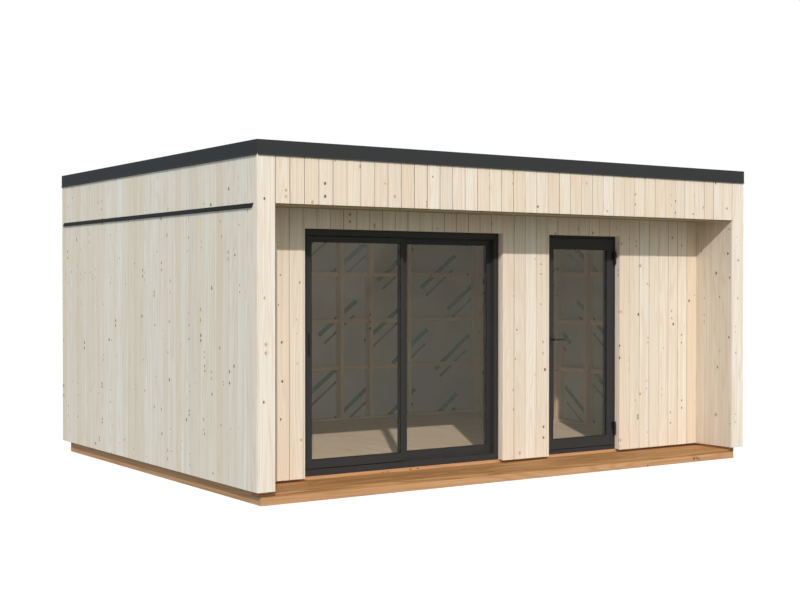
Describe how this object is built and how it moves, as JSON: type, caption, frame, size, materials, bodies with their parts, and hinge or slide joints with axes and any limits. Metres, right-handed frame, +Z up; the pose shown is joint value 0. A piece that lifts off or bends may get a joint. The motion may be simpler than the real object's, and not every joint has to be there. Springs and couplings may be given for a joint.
{
  "type": "garden office pod",
  "caption": "Timber-clad garden office pod with a shallow recessed porch, a sliding glazed patio door, a hinged glazed door with a lever handle, and a flat roof behind dark metal trim.",
  "frame": {"origin": "on the ground under the middle of the outer box", "axes": "+X to the right along the long front, +Y from the front to the back, +Z up"},
  "size_m": [5.028, 3.998, 2.625],
  "materials": {
    "cladding": "planed, untreated pale softwood",
    "planed_timber": "planed softwood",
    "treated_timber": "pressure treated softwood",
    "deck_timber": "pressure treated deck board",
    "floor_board": "bare board",
    "membrane": "grey woven sheet",
    "roof_sheet": "matt sheet",
    "dark_metal": "satin powder coat",
    "dark_profile": "satin powder coat",
    "glazing": "clear double glazing",
    "black_fitting": "black coat",
    "handle_metal": "dark satin coat"
  },
  "bodies": {
    "pod": {"base_frame": "treated_timber", "wing_beams": "treated_timber", "porch_bearers": "treated_timber", "porch_deck": "deck_timber", "floor_panel": "floor_board", "left_wall_frame": "planed_timber", "right_wall_frame": "planed_timber", "back_wall_frame": "planed_timber", "front_wall_frame": "planed_timber", "front_headers": "planed_timber", "wind_membrane": "membrane", "left_cladding": "cladding", "right_cladding": "cladding", "back_cladding": "cladding", "front_cladding_left": "cladding", "front_cladding_middle": "cladding", "front_cladding_right": "cladding", "front_cladding_over": "cladding", "front_fascia": "cladding", "porch_soffit": "cladding", "porch_side_cladding": "cladding", "wing_boards": "cladding", "opening_linings": "cladding", "roof_joists": "planed_timber", "roof_deck": "floor_board", "roof_cover": "roof_sheet", "roof_parapet": "planed_timber", "trim_front": "dark_metal", "trim_back": "dark_metal", "trim_left": "dark_metal", "trim_right": "dark_metal", "drip_flashings": "dark_metal", "patio_frame": "dark_profile", "fixed_sash": "dark_profile", "fixed_glass": "glazing", "door_frame": "dark_profile", "frame_hinges": "black_fitting"},
    "sliding_door": {"sliding_sash": "dark_profile", "sliding_glass": "glazing", "sash_pull": "black_fitting"},
    "hinged_door": {"door_leaf": "dark_profile", "door_glass": "glazing", "leaf_hinges": "black_fitting", "handle_plates": "handle_metal"},
    "door_handle": {"door_lever": "handle_metal"}
  },
  "joints": [
    {"name": "patio_slide", "type": "slide", "parent": "pod", "child": "sliding_door", "axis": [1, 0, 0], "range_m": [0, 0.9]},
    {"name": "door_swing", "type": "hinge", "parent": "pod", "child": "hinged_door", "pos_m": [1.3655, -1.504, 1.05], "axis": [0, 0, 1], "range_deg": [0, 105]},
    {"name": "handle_turn", "type": "hinge", "parent": "hinged_door", "child": "door_handle", "pos_m": [0.642, -1.48, 1.114], "axis": [0, 1, 0], "range_deg": [0, 40], "stiffness_Nm_per_rad": 1.5, "springref_deg": -28.65}
  ]
}
